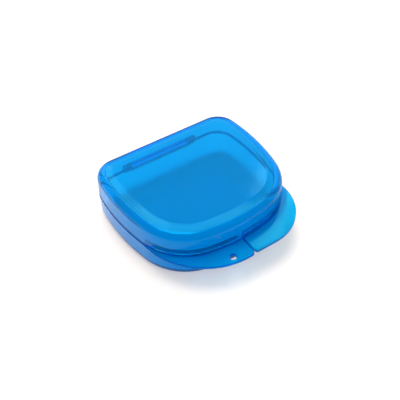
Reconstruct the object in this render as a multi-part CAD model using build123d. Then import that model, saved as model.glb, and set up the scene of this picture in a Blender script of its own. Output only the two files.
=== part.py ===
from build123d import *
import math
import os

# Whitening tray case: a base and a lid, each one thin polypropylene moulding. They turn on a
# snap-in hinge at the straight back edge and snap together at the curved front, where each
# carries half of a thumb flange. Sizes are in millimetres and angles in degrees.
#
# Each shell is drawn as a lid: X along the hinge, Y to the back, mouth down at Z = 0, closed side
# up and its tab to the right of the middle. The base is then turned over about Y, which puts its
# tab to the left. At the end both move to the frame of the part, whose origin is the middle of
# the footprint at table height.

# Rim outline: a straight back, tight back corners, bowed sides, wide front corners
rim_back_y = 36.0
back_half_length = 27.9
back_corner_radius = 11.3
back_corner_turn = 82.2
side_radius = 101.6
side_turn = 20.8
front_corner_radius = 27.2
front_corner_turn = 65.6

# Shells
wall = 1.5
floor_thickness = 1.6
draft = 2.0
base_depth = 13.4
lid_depth = 12.8
parting_gap = 0.3
base_edge_radius = 3.6
base_inner_chamfer = 1.8
lid_edge_radius = 3.6
lid_inner_chamfer = 2.6

# Top of the lid: a flat field, raised a little over a sloped border
field_border_inset = 4.2
field_inset = 7.6
field_rise = 0.4

# Thumb flange: one tab on each shell, side by side at the front
tab_thickness = 1.8
tab_overlap = 0.6
tab_edge_chamfer = 0.25
tab_front_y = -42.5
tab_root_y = -6.0
tab_end_radius = 1.5
tab_clearance = 0.3
base_tab_side_x = 37.5
base_tab_corner_radius = 34.0
base_tab_end_x = -0.3
lid_tab_side_x = 36.1
lid_tab_corner_radius = 24.0
lid_tab_end_x = 0.7

# Hole for a wrist strap in the tab of the base
strap_hole_radius = 1.75
strap_hole_x = 9.3
strap_hole_y = -38.9

# Ledge: a narrow step on the other side of the middle, along the other shell's tab
ledge_end_x = 0.7
ledge_root_y = -8.0
base_ledge_width = 2.6
base_ledge_side_x = 37.4
base_ledge_levels = (1.0, 2.8)
lid_ledge_width = 0.8
lid_ledge_side_x = 35.8
lid_ledge_levels = (2.2, 2.9)

# Snap lip: a tongue inside the rim, behind the tab, with a bead that clicks into a groove
tongue_thickness = 0.8
tongue_height = 2.2
tongue_tip_chamfer = 0.3
tongue_root_depth = 2.6
tongue_clearance = 0.3
tongue_back_y = -10.0
tongue_end_x = 1.5
bead_height = 0.5
bead_width = 0.9
bead_level = 1.2
bead_near_x = 6.0
bead_far_x = 22.0
groove_margin = 0.15

# Hinge: the barrel along the lid's rim turns on two pins between two ears on the base's rim
hinge_offset = 0.3
barrel_radius = 2.2
barrel_half_length = 16.5
ear_thickness = 3.7
hinge_gap = 0.3
pin_radius = 1.1
pin_length = 3.6
pin_clearance = 0.05
pin_tip_chamfer = 0.4

# Places that follow from the sizes above
hinge_y = rim_back_y + hinge_offset
ear_inner_x = barrel_half_length + hinge_gap
ear_outer_x = ear_inner_x + ear_thickness
footprint_middle_y = (hinge_y + barrel_radius + tab_front_y) / 2

# How far pieces of one shell reach into each other, and a length past every face of the case
embed = 0.6
beyond = 60.0
tolerance = 0.001


def polar(centre, distance, angle):
    """The point at a distance and an angle from a centre."""
    turn = math.radians(angle)
    return (centre[0] + distance * math.cos(turn), centre[1] + distance * math.sin(turn))


def box(x_span, y_span, z_span):
    """A block between two values on each axis."""
    spans = (x_span, y_span, z_span)
    middle = [(low + high) / 2 for low, high in spans]
    size = [high - low for low, high in spans]
    return Pos(*middle) * Box(*size)


def x_cylinder(radius, x_span):
    """A round bar along the hinge axis."""
    low, high = x_span
    return Pos((low + high) / 2, hinge_y, 0) * Rot(0, 90, 0) * Cylinder(radius, high - low)


def rim_face(inset):
    """The D-shaped area of the case seen from above, drawn an inset inside the rim.

    Neighbouring arcs share a tangent, so an inset only shortens their radii. The front arc has
    the radius that closes the outline on the middle line."""
    side_start = 90 - back_corner_turn
    corner_start = side_start - side_turn
    front_start = corner_start - front_corner_turn
    back_centre = (back_half_length, rim_back_y - back_corner_radius)
    side_centre = polar(back_centre, back_corner_radius - side_radius, side_start)
    corner_centre = polar(side_centre, side_radius - front_corner_radius, corner_start)
    front_reach = -corner_centre[0] / math.cos(math.radians(front_start))
    front_centre = polar(corner_centre, front_reach, front_start)
    front_radius = front_corner_radius - front_reach
    right_side = [
        CenterArc(back_centre, back_corner_radius - inset, 90, -back_corner_turn),
        CenterArc(side_centre, side_radius - inset, side_start, -side_turn),
        CenterArc(corner_centre, front_corner_radius - inset, corner_start, -front_corner_turn),
        CenterArc(front_centre, front_radius - inset, front_start, -90 - front_start),
    ]
    left_side = [mirror(arc, about=Plane.YZ) for arc in right_side]
    back_y = rim_back_y - inset
    back = Line((-back_half_length, back_y), (back_half_length, back_y))
    return make_face(Curve() + [back] + right_side + left_side)


def upper_block(inset, depth, lean=draft):
    """The area of the case drawn up from the parting plane, with its sides leaning in."""
    block = extrude(rim_face(inset), amount=depth, dir=(0, 0, -1), taper=lean)
    return mirror(block, about=Plane.XY)


def edges_at(block, level):
    """The edges of a block that lie at one height."""
    return block.edges().filter_by_position(Axis.Z, level - tolerance, level + tolerance)


def layer(inset, z_span):
    """A straight-sided slab with the outline of the case, between two heights."""
    low, high = z_span
    return Pos(0, 0, low) * extrude(rim_face(inset), amount=high - low, dir=(0, 0, 1))


def rounded_block(depth, edge_radius):
    """The drafted block of a shell with its closed edge rounded."""
    block = upper_block(0, depth)
    return fillet(edges_at(block, depth), edge_radius)


def hollow_out(block, depth, inner_chamfer):
    """A thin shell cut from a block, sloped inside where its walls meet its closed side."""
    inner_depth = depth - floor_thickness
    inside = upper_block(wall, inner_depth)
    inside = chamfer(edges_at(inside, inner_depth), inner_chamfer)
    trim = layer(-embed, (-embed, parting_gap / 2))
    return block - trim - inside


def field():
    """The flat field on top of the lid, with its sloped border."""
    lean = math.degrees(math.atan2(field_inset - field_border_inset, field_rise))
    return upper_block(field_border_inset, field_rise, lean)


def tab(side_x, corner_radius, end_x):
    """The thumb tab: a flat plate with one wide corner, cut round both shells' walls."""
    width = side_x - end_x
    length = tab_root_y - tab_front_y
    low = -tab_overlap
    high = low + tab_thickness
    plate = box((end_x, side_x), (tab_front_y, tab_root_y), (low, high))
    corners = plate.edges().filter_by(Axis.Z).group_by(Axis.Y)[0].sort_by(Axis.X)
    plate = fillet(corners[1], min(corner_radius, width - tab_end_radius, length))
    corners = plate.edges().filter_by(Axis.Z).group_by(Axis.Y)[0].sort_by(Axis.X)
    plate = fillet(corners[0], tab_end_radius)
    plate = chamfer(edges_at(plate, low) + edges_at(plate, high), tab_edge_chamfer)
    own_wall = layer(embed, (0, beyond))
    other_wall = layer(-tab_clearance, (-beyond, parting_gap / 2))
    return plate - own_wall - other_wall


def ledge(width, side_x, levels):
    """The narrow step on the left of the middle, fading out along the side."""
    plate = layer(-width, levels)
    reach = box((-side_x, -ledge_end_x), (-beyond, ledge_root_y), (0, beyond))
    return plate & reach - layer(embed, (0, beyond))


def tongue():
    """The snap lip inside the rim on the right, with its root on the wall and its bead."""
    face_inset = wall + tongue_clearance
    back_inset = face_inset + tongue_thickness
    lip = layer(face_inset, (-tongue_height, 0))
    lip = chamfer(edges_at(lip, -tongue_height), tongue_tip_chamfer)
    root = layer(wall - embed, (0, tongue_root_depth))
    strip = lip + root - layer(back_inset, (-tongue_height, tongue_root_depth))
    reach = box((tongue_end_x, beyond), (-beyond, tongue_back_y), (-beyond, beyond))
    return (strip + bead()) & reach


def bead():
    """The raised line along the outer face of the tongue that clicks into the groove."""
    low = -bead_level - bead_width / 2
    high = low + bead_width
    crest = wall + tongue_clearance - bead_height
    line = layer(crest, (low, high))
    line = chamfer(edges_at(line, low) + edges_at(line, high), bead_width / 2 - tolerance)
    line -= layer(wall + tongue_clearance + tongue_thickness / 2, (low, high))
    return line & box((bead_near_x, bead_far_x), (-beyond, tongue_back_y), (low, high))


def groove():
    """The shallow groove on the left that takes the bead of the other shell."""
    half_width = bead_width / 2 + groove_margin
    depth = bead_height - tongue_clearance + groove_margin
    cut = layer(wall - depth, (bead_level - half_width, bead_level + half_width))
    ends = (-bead_far_x - groove_margin, -bead_near_x + groove_margin)
    return cut & box(ends, (-beyond, tongue_back_y), (0, beyond))


def ear_span(side, gap):
    """Where an ear stands along the hinge axis, with a gap added at both ends."""
    return sorted((side * (ear_inner_x - gap), side * (ear_outer_x + gap)))


def base_shell():
    """The lower shell, still drawn mouth down, with its hinge ears and the strap hole."""
    body = rounded_block(base_depth, base_edge_radius)
    body = hollow_out(body, base_depth, base_inner_chamfer)
    body -= x_cylinder(barrel_radius + hinge_gap, (-ear_inner_x, ear_inner_x))
    for side in (-1, 1):
        span = ear_span(side, 0)
        body += x_cylinder(barrel_radius, span)
        body -= x_cylinder(pin_radius + pin_clearance, span)
    plate = tab(base_tab_side_x, base_tab_corner_radius, base_tab_end_x)
    plate -= Pos(strap_hole_x, strap_hole_y, 0) * Cylinder(strap_hole_radius, beyond)
    step = ledge(base_ledge_width, base_ledge_side_x, base_ledge_levels)
    return body + plate + step + tongue() - groove()


def lid_shell():
    """The upper shell with its hinge barrel and pins."""
    border_level = lid_depth - field_rise
    body = rounded_block(border_level, lid_edge_radius)
    body += Pos(0, 0, border_level) * field()
    body = hollow_out(body, lid_depth, lid_inner_chamfer)
    for side in (-1, 1):
        body -= x_cylinder(barrel_radius + hinge_gap, ear_span(side, hinge_gap))
    body += x_cylinder(barrel_radius, (-barrel_half_length, barrel_half_length))
    pin_end = barrel_half_length + pin_length
    pins = x_cylinder(pin_radius, (-pin_end, pin_end))
    body += chamfer(pins.faces().filter_by(Axis.X).edges(), pin_tip_chamfer)
    plate = tab(lid_tab_side_x, lid_tab_corner_radius, lid_tab_end_x)
    step = ledge(lid_ledge_width, lid_ledge_side_x, lid_ledge_levels)
    return body + plate + step + tongue() - groove()


def main():
    """Set both shells in the frame of the part and write one file for each."""
    to_part_frame = Pos(0, -footprint_middle_y, base_depth)
    turned_over = Rot(0, 180, 0)
    pieces = {
        "base_shell": to_part_frame * turned_over * base_shell(),
        "lid_shell": to_part_frame * lid_shell(),
    }
    os.makedirs("parts", exist_ok=True)
    for name, piece in pieces.items():
        export_step(piece.solid(), f"parts/{name}.step")
    print("hinge axis at y =", hinge_y - footprint_middle_y, "z =", base_depth)


main()
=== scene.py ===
import math

import bpy
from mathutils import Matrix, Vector


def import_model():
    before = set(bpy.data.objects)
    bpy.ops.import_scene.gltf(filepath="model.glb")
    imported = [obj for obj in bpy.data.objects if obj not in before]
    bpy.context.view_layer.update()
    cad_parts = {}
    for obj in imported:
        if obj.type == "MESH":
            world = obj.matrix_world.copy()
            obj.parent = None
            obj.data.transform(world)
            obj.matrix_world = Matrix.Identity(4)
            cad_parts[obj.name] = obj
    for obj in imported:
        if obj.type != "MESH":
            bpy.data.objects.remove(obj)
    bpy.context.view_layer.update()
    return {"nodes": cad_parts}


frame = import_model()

# The looks of the whitening tray case. Lengths are in metres and angles in degrees. The shells
# themselves are the CAD solids; this script gives them their plastic, and sets the floor, the
# light and the camera.

WHITE = (1.0, 1.0, 1.0, 1.0)

# Height at which the two shells meet
PARTING_HEIGHT = 0.0134

# Camera: where it aims, from which side, how far off, its focal length in millimetres, and the
# nearest thing that it sees
AIM = Vector((-0.0014, -0.0001, 0.0134))
CAMERA_TURN = 34.54
CAMERA_HEIGHT = 45.74
CAMERA_DISTANCE = 0.3025
CAMERA_LENS = 57.85
CAMERA_NEAR = 0.01

# Translucent polypropylene: its own colour, the share of light that passes, and the light lost
# per metre of plastic in red, green and blue
PLASTIC_COLOUR = (0.0, 0.87, 1.0, 1.0)
PLASTIC_CLEARNESS = 0.9
PLASTIC_IOR = 1.45
ABSORPTION = (1100.0, 210.0, 2.0)
GLOSS_TINT = (0.0, 0.8, 1.0, 1.0)

# Moulded faces: a cloudy polish, and a faint unevenness
CLOUD_DETAIL = 3.0
CLOUD_REACH = (0.3, 0.7)
POLISH_SIZE = 0.012
POLISH_ROUGHNESS = (0.06, 0.14)
UNEVEN_SIZE = 0.006
UNEVEN_HEIGHT = 0.00004

# Rims where the shells meet: matt within one height, and within another a painted shade, a deeper,
# cloudier blue that stands in for the shade in the seam between the shells
MATT_REACH = 0.0007
MATT_ROUGHNESS = 0.9
SEAM_SHADE_REACH = 0.00035
SEAM_SHADE_COLOUR = (0.0, 0.16, 0.85, 1.0)
SEAM_SHADE_CLEARNESS = 0.5

# Floor, and the light that it adds to its own shade: white in the plastic, and a little warm where
# the camera looks straight at it, against the blue that the plastic throws into the shadow
FLOOR_SIZE = 3.0
FLOOR_DROP = 0.00005
FLOOR_COLOUR = (0.7, 0.7, 0.7, 1.0)
FLOOR_ROUGHNESS = 0.9
FLOOR_LIFT = 0.35
LIFT_IN_PLASTIC = WHITE
LIFT_TO_CAMERA = (1.2, 1.0, 0.82, 1.0)

# Studio: even light from all round, and a wide soft light from high up
WORLD_LIGHT = 0.55
SEEN_WORLD = 1.0
HIGH_LIGHT_TURN = 170.0
HIGH_LIGHT_HEIGHT = 80.0
HIGH_LIGHT_WIDTH = 30.0
HIGH_LIGHT_POWER = 1.5

# Soft lamps behind the case, each with its turn, height, size across, size up and power
LAMP_DISTANCE = 0.6
LAMPS = {
    "back_lamp": (216.0, 62.0, 0.5, 0.11, 0.55),
    "edge_lamp": (184.0, 47.0, 0.16, 0.36, 0.25),
    "tab_lamp": (228.0, 47.0, 0.05, 0.1, 0.04),
}


def direction(turn, height):
    """The unit vector towards a place seen from the aim, turned from the front to the left."""
    a = math.radians(turn)
    e = math.radians(height)
    return Vector((-math.sin(a) * math.cos(e), -math.cos(a) * math.cos(e), math.sin(e)))


def stand(name, data, turn, height, distance):
    """Stands a lamp or the camera some way off the aim, looking at it."""
    thing = bpy.data.objects.new(name, data)
    thing.location = AIM + direction(turn, height) * distance
    thing.rotation_euler = (AIM - thing.location).to_track_quat("-Z", "Y").to_euler()
    bpy.context.scene.collection.objects.link(thing)
    return thing


def calculate(nodes, links, operation, *values):
    """The result of one operation on values that are numbers or outputs of other nodes."""
    node = nodes.new("ShaderNodeMath")
    node.operation = operation
    for socket, value in zip(node.inputs, values):
        if isinstance(value, float):
            socket.default_value = value
        else:
            links.new(value, socket)
    return node.outputs["Value"]


def spread(nodes, links, value, ends, reach=(0.0, 1.0)):
    """A value that goes from one end to the other as the given one goes over its reach."""
    node = nodes.new("ShaderNodeMapRange")
    node.inputs["From Min"].default_value = reach[0]
    node.inputs["From Max"].default_value = reach[1]
    node.inputs["To Min"].default_value = ends[0]
    node.inputs["To Max"].default_value = ends[1]
    links.new(value, node.inputs["Value"])
    return node.outputs["Result"]


def blend(nodes, links, share, first, second):
    """A colour that goes from the first to the second as the share goes from 0 to 1."""
    mix = nodes.new("ShaderNodeMix")
    mix.data_type = "RGBA"
    links.new(share, mix.inputs["Factor"])
    colours = [socket for socket in mix.inputs if socket.type == "RGBA"]
    colours[0].default_value = first
    colours[1].default_value = second
    return next(socket for socket in mix.outputs if socket.type == "RGBA")


def clouds(nodes, links, size):
    """A cloudy pattern fixed to the moulding, with clouds of about one size."""
    place = nodes.new("ShaderNodeTexCoord")
    pattern = nodes.new("ShaderNodeTexNoise")
    pattern.inputs["Scale"].default_value = 1.0 / size
    pattern.inputs["Detail"].default_value = CLOUD_DETAIL
    links.new(place.outputs["Object"], pattern.inputs["Vector"])
    return pattern.outputs["Fac"]


def near_rim(nodes, links, reach):
    """The value 1 within a height of the plane where the two shells meet, and 0 elsewhere."""
    place = nodes.new("ShaderNodeTexCoord")
    axes = nodes.new("ShaderNodeSeparateXYZ")
    links.new(place.outputs["Object"], axes.inputs["Vector"])
    return calculate(nodes, links, "COMPARE", axes.outputs["Z"], PARTING_HEIGHT, reach)


def polish(nodes, links, shader):
    """Makes the gloss a little cloudy, and the rims matt."""
    pattern = clouds(nodes, links, POLISH_SIZE)
    cloudy = spread(nodes, links, pattern, POLISH_ROUGHNESS, CLOUD_REACH)
    rim = near_rim(nodes, links, MATT_REACH)
    matt = calculate(nodes, links, "MULTIPLY", rim, MATT_ROUGHNESS)
    rougher = calculate(nodes, links, "MAXIMUM", cloudy, matt)
    links.new(rougher, shader.inputs["Roughness"])


def paint_seam_shade(nodes, links, shader):
    """Paints shade into the plastic at the rims: a deeper, cloudier blue for the shade in the seam
    where the shells meet.
    """
    rim = near_rim(nodes, links, SEAM_SHADE_REACH)
    colour = blend(nodes, links, rim, PLASTIC_COLOUR, SEAM_SHADE_COLOUR)
    clearness = spread(nodes, links, rim, (PLASTIC_CLEARNESS, SEAM_SHADE_CLEARNESS))
    links.new(colour, shader.inputs["Base Color"])
    links.new(clearness, shader.inputs["Transmission Weight"])


def unevenness(nodes, links, shader):
    """Gives the moulded faces the faint waves that cooling plastic takes."""
    waves = nodes.new("ShaderNodeBump")
    waves.inputs["Distance"].default_value = UNEVEN_HEIGHT
    links.new(clouds(nodes, links, UNEVEN_SIZE), waves.inputs["Height"])
    links.new(waves.outputs["Normal"], shader.inputs["Normal"])


def tint(nodes, links, output):
    """Takes the light's red, then its green, the further it goes through the plastic."""
    density = max(ABSORPTION)
    left = [1.0 - share / density for share in ABSORPTION]
    volume = nodes.new("ShaderNodeVolumeAbsorption")
    volume.inputs["Density"].default_value = density
    volume.inputs["Color"].default_value = (*left, 1.0)
    links.new(volume.outputs["Volume"], output.inputs["Volume"])


def new_material(name):
    """A new material, with its nodes, its links and its surface shader."""
    material = bpy.data.materials.new(name)
    material.use_nodes = True
    tree = material.node_tree
    return material, tree.nodes, tree.links, tree.nodes["Principled BSDF"]


def plastic(name):
    """Glossy translucent blue plastic, with the soft unevenness of a moulded face."""
    material, nodes, links, shader = new_material(name)
    shader.inputs["IOR"].default_value = PLASTIC_IOR
    shader.inputs["Specular Tint"].default_value = GLOSS_TINT
    # painted shade: a deeper, cloudier blue at the rims for the shade in the seam between the
    # shells
    paint_seam_shade(nodes, links, shader)
    polish(nodes, links, shader)
    unevenness(nodes, links, shader)
    tint(nodes, links, nodes["Material Output"])
    return material


def dress(node, material):
    """Gives a CAD node its material."""
    node.data.materials.clear()
    node.data.materials.append(material)
    for face in node.data.polygons:
        face.material_index = 0


def seen_share(nodes, links):
    """A node tree's value that is 1 where the camera sees a thing straight, mirrored or through."""
    path = nodes.new("ShaderNodeLightPath")
    either = path.outputs["Is Camera Ray"]
    for name in ("Is Glossy Ray", "Is Transmission Ray"):
        either = calculate(nodes, links, "MAXIMUM", either, path.outputs[name])
    return either


def pale_floor():
    """The floor's plain material, which adds its own light to what the camera sees."""
    material, nodes, links, shader = new_material("pale_floor")
    shader.inputs["Base Color"].default_value = FLOOR_COLOUR
    shader.inputs["Roughness"].default_value = FLOOR_ROUGHNESS
    shader.inputs["Specular IOR Level"].default_value = 0.0
    to_camera = nodes.new("ShaderNodeLightPath").outputs["Is Camera Ray"]
    colour = blend(nodes, links, to_camera, LIFT_IN_PLASTIC, LIFT_TO_CAMERA)
    lift = calculate(nodes, links, "MULTIPLY", seen_share(nodes, links), FLOOR_LIFT)
    links.new(colour, shader.inputs["Emission Color"])
    links.new(lift, shader.inputs["Emission Strength"])
    return material


def floor():
    """A wide plain floor, white to the camera where nothing shades it."""
    bpy.ops.mesh.primitive_plane_add(size=FLOOR_SIZE, location=(0.0, 0.0, -FLOOR_DROP))
    plane = bpy.context.object
    plane.name = "floor"
    plane.data.materials.append(pale_floor())


def world():
    """Even studio light, and plain white where the camera sees past the floor."""
    studio = bpy.data.worlds.new("studio")
    bpy.context.scene.world = studio
    studio.use_nodes = True
    nodes = studio.node_tree.nodes
    links = studio.node_tree.links
    to_camera = nodes.new("ShaderNodeLightPath").outputs["Is Camera Ray"]
    light = nodes["Background"]
    light.inputs["Color"].default_value = WHITE
    strength = spread(nodes, links, to_camera, (WORLD_LIGHT, SEEN_WORLD))
    links.new(strength, light.inputs["Strength"])


def high_light():
    """A wide soft light from high up, the same all over the floor."""
    light = bpy.data.lights.new("high_light", "SUN")
    light.angle = math.radians(HIGH_LIGHT_WIDTH)
    light.energy = HIGH_LIGHT_POWER
    stand("high_light", light, HIGH_LIGHT_TURN, HIGH_LIGHT_HEIGHT, LAMP_DISTANCE)


def lamp(name, turn, height, across, up, power):
    """A soft lamp that looks at the case."""
    light = bpy.data.lights.new(name, "AREA")
    light.shape = "RECTANGLE"
    light.size = across
    light.size_y = up
    light.energy = power
    stand(name, light, turn, height, LAMP_DISTANCE)


def camera():
    """The camera at the photograph's viewing angle."""
    lens = bpy.data.cameras.new("camera")
    lens.lens = CAMERA_LENS
    lens.clip_start = CAMERA_NEAR
    eye = stand("camera", lens, CAMERA_TURN, CAMERA_HEIGHT, CAMERA_DISTANCE)
    bpy.context.scene.camera = eye


bpy.context.scene.view_settings.view_transform = "Standard"
dress(frame["nodes"]["base_shell"], plastic("base_plastic"))
dress(frame["nodes"]["lid_shell"], plastic("lid_plastic"))
floor()
world()
high_light()
for name, settings in LAMPS.items():
    lamp(name, *settings)
camera()
